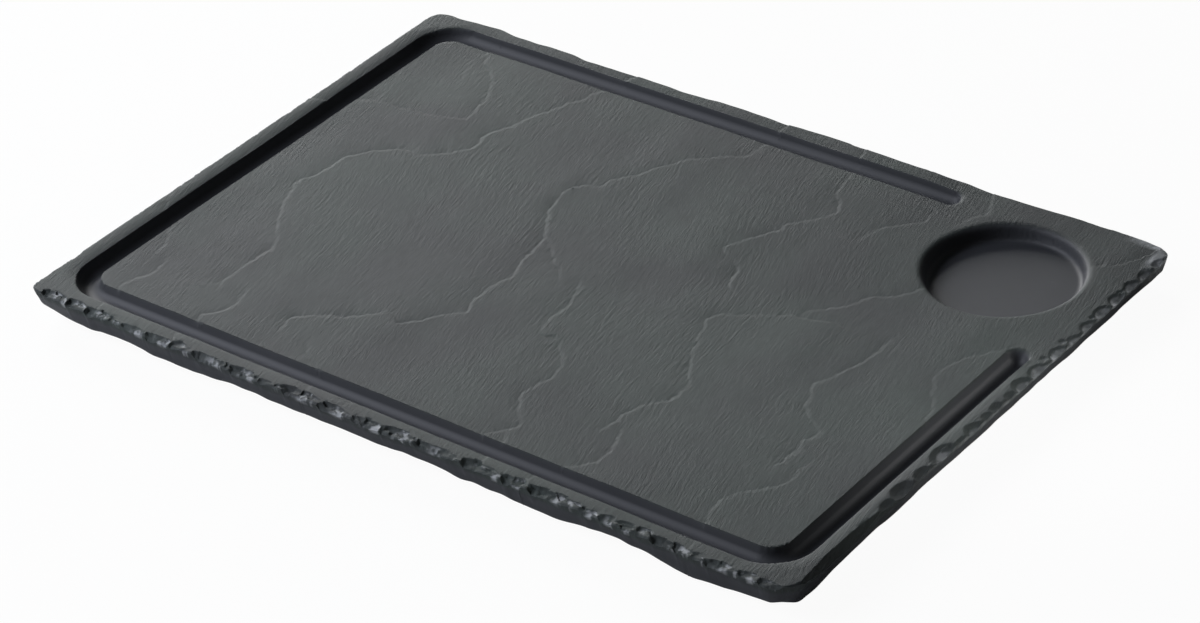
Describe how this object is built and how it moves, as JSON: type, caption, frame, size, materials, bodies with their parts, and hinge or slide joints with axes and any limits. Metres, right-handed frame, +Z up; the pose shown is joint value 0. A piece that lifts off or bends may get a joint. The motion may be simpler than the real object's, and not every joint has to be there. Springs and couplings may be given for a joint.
{
  "type": "steak plate",
  "caption": "Rectangular slate-look ceramic steak plate with a riven top, knapped edge, juice groove and round sauce well in one corner, on stick-on feet.",
  "frame": {"origin": "on the table under the middle of the plate, at the level of the feet's undersides", "axes": "+X along the length, +Y from the front to the rear, +Z up out of the eating surface; the sauce well is in the +X +Y corner"},
  "size_m": [0.332, 0.234, 0.0127],
  "materials": {
    "slate_ceramic": "matte slate-grey stoneware, satin in the groove and well",
    "foot_silicone": "matte",
    "foot_adhesive": "satin"
  },
  "bodies": {
    "root": {"plate_body": "slate_ceramic", "foot_front_left": "foot_silicone", "foot_front_right": "foot_silicone", "foot_rear_left": "foot_silicone", "foot_rear_right": "foot_silicone", "foot_adhesive_discs": "foot_adhesive"}
  },
  "joints": []
}
